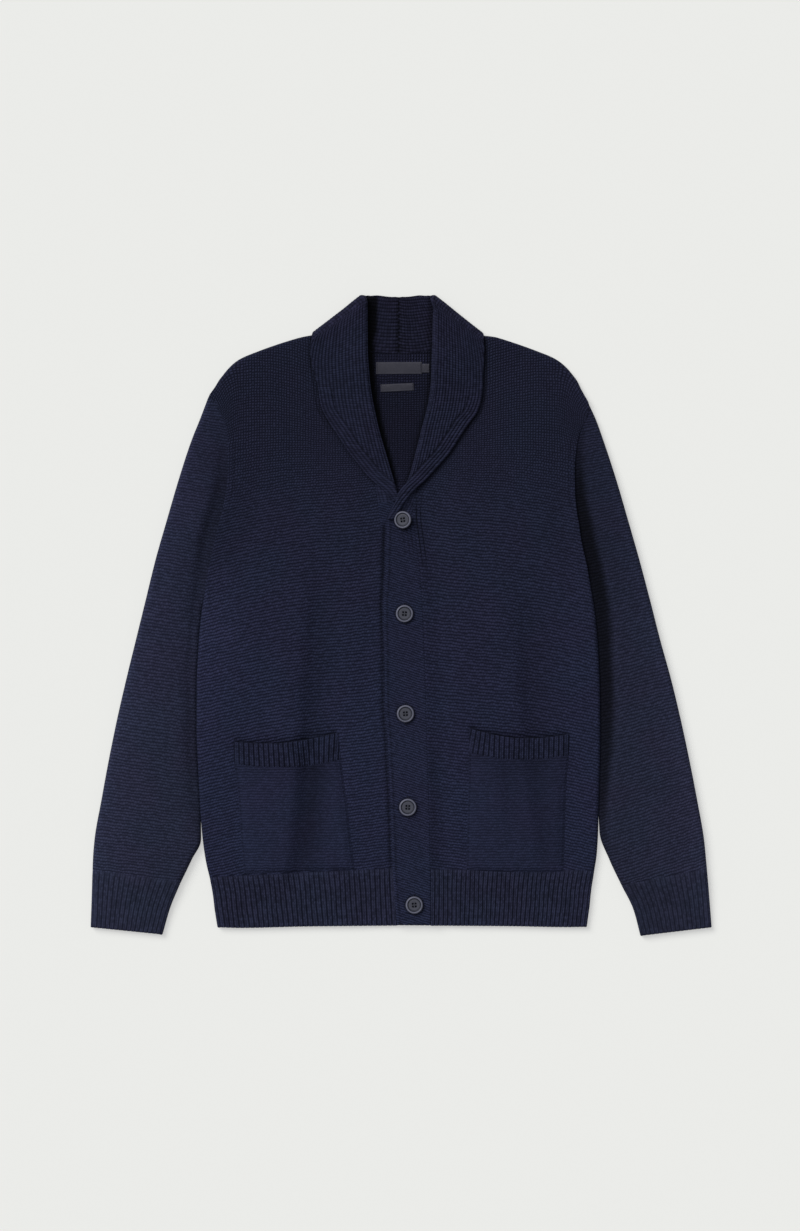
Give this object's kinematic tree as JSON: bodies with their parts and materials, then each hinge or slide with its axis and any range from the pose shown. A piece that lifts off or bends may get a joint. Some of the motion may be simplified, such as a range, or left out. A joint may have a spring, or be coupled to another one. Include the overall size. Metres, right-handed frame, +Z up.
{
  "type": "shawl collar cardigan",
  "caption": "Long-sleeved knitted cardigan laid flat and buttoned: folded shawl collar running into a ribbed button band, patch pockets, ribbed hem and cuffs.",
  "frame": {"origin": "centre of the garment's outline on the surface it lies on", "axes": "+X toward the wearer's left sleeve, +Y toward the collar, +Z up from the surface"},
  "size_m": [0.7574, 0.7808, 0.0201],
  "materials": {
    "knit": "matte navy wool knit",
    "rib": "matte navy wool rib",
    "button": "satin slate grey",
    "label": "woven grey tape"
  },
  "bodies": {
    "root": {"back": "knit", "hem_rib_back": "rib", "front_right": "knit", "front_left": "knit", "hem_rib_front_right": "rib", "hem_rib_front_left": "rib", "sleeve_right": "knit", "sleeve_left": "knit", "cuff_right": "rib", "cuff_left": "rib", "collar_back_right": "rib", "collar_back_left": "rib", "collar_band_right": "rib", "collar_band_left": "rib", "pocket_right": "knit", "pocket_left": "knit", "pocket_border_right": "rib", "pocket_border_left": "rib", "button_1": "button", "button_2": "button", "button_3": "button", "button_4": "button", "button_5": "button", "neck_label": "label", "size_tab": "label", "care_label": "label"}
  },
  "joints": []
}
